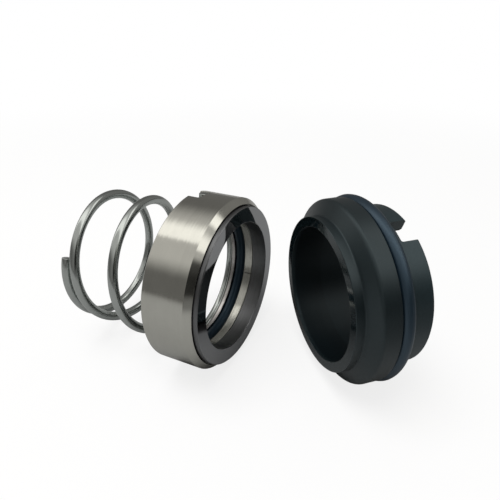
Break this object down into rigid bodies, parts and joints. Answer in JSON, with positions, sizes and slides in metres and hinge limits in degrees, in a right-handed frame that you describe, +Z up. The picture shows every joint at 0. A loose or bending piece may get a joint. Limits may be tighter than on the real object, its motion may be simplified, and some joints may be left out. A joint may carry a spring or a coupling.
{
  "type": "component mechanical seal",
  "caption": "Pump shaft seal in two halves: a rotary head with a face ring, O-ring and conical spring, and a stationary seat with its O-ring, standing side by side on their rims.",
  "frame": {"origin": "middle of the thrust ring's bore, on the axis of the rotary head", "axes": "+X along the head's axis towards its lapped face, +Z up, +Y away from the camera of the picture"},
  "size_m": [0.1075, 0.0638, 0.0562],
  "materials": {
    "housing": "stainless steel, turned and brushed round the axis",
    "face_ring": "grey hard carbide, lapped to a mirror",
    "shaft_o_ring": "blue-black rubber with a soft sheen",
    "thrust_ring": "flat stainless steel",
    "spring": "drawn stainless wire",
    "stationary_seat": "black carbide, matt, with a lapped face",
    "seat_o_ring": "blue-black rubber with a soft sheen"
  },
  "bodies": {
    "seat_side": {"stationary_seat": "stationary_seat", "seat_o_ring": "seat_o_ring", "spring": "spring"},
    "head": {"housing": "housing", "face_ring": "face_ring", "shaft_o_ring": "shaft_o_ring", "thrust_ring": "thrust_ring"}
  },
  "joints": [
    {"name": "face_travel", "type": "slide", "parent": "seat_side", "child": "head", "axis": [-1, 0, 0], "range_m": [0, 0.01], "stiffness_N_per_m": 3000, "deforming": ["spring"]}
  ]
}
